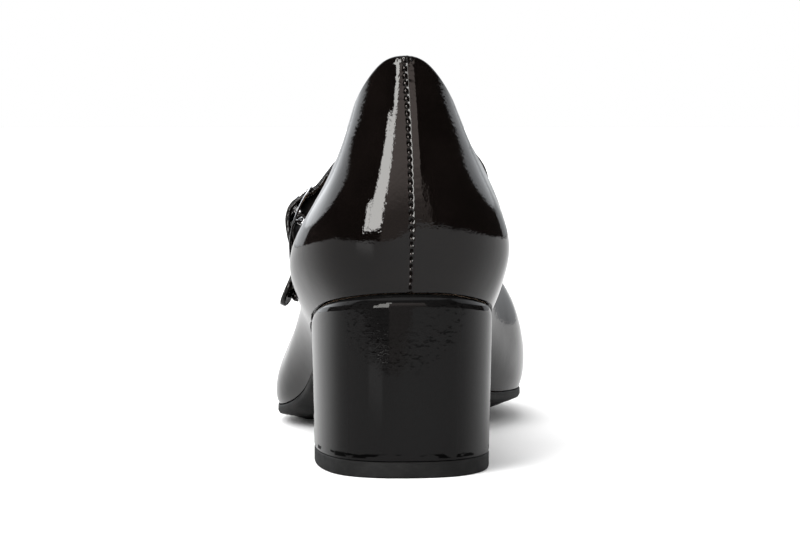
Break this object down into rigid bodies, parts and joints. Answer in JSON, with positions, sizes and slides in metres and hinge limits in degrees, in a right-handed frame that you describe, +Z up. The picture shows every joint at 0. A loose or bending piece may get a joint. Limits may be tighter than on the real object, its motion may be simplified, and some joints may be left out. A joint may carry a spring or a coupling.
{
  "type": "block heel mary jane pump",
  "caption": "Left block-heel Mary Jane pump in very dark oxblood patent leather, with an instep strap buckled on the outer side.",
  "frame": {"origin": "middle of the heel top piece's walking face, on the floor plane", "axes": "+Y to the toe, +Z up, -X to the outer (buckle) side of the left foot"},
  "size_m": [0.0822, 0.2405, 0.121],
  "materials": {
    "patent_leather": "gloss patent",
    "insole_leather": "matte",
    "sole_black": "satin",
    "top_piece_rubber": "matte",
    "buckle_metal": "polished"
  },
  "bodies": {
    "root": {"upper": "patent_leather", "insole": "insole_leather", "outsole": "sole_black", "heel_block": "patent_leather", "heel_top_piece": "top_piece_rubber", "strap": "patent_leather", "buckle_tab": "patent_leather", "buckle_frame": "buckle_metal", "buckle_prong": "buckle_metal"}
  },
  "joints": []
}
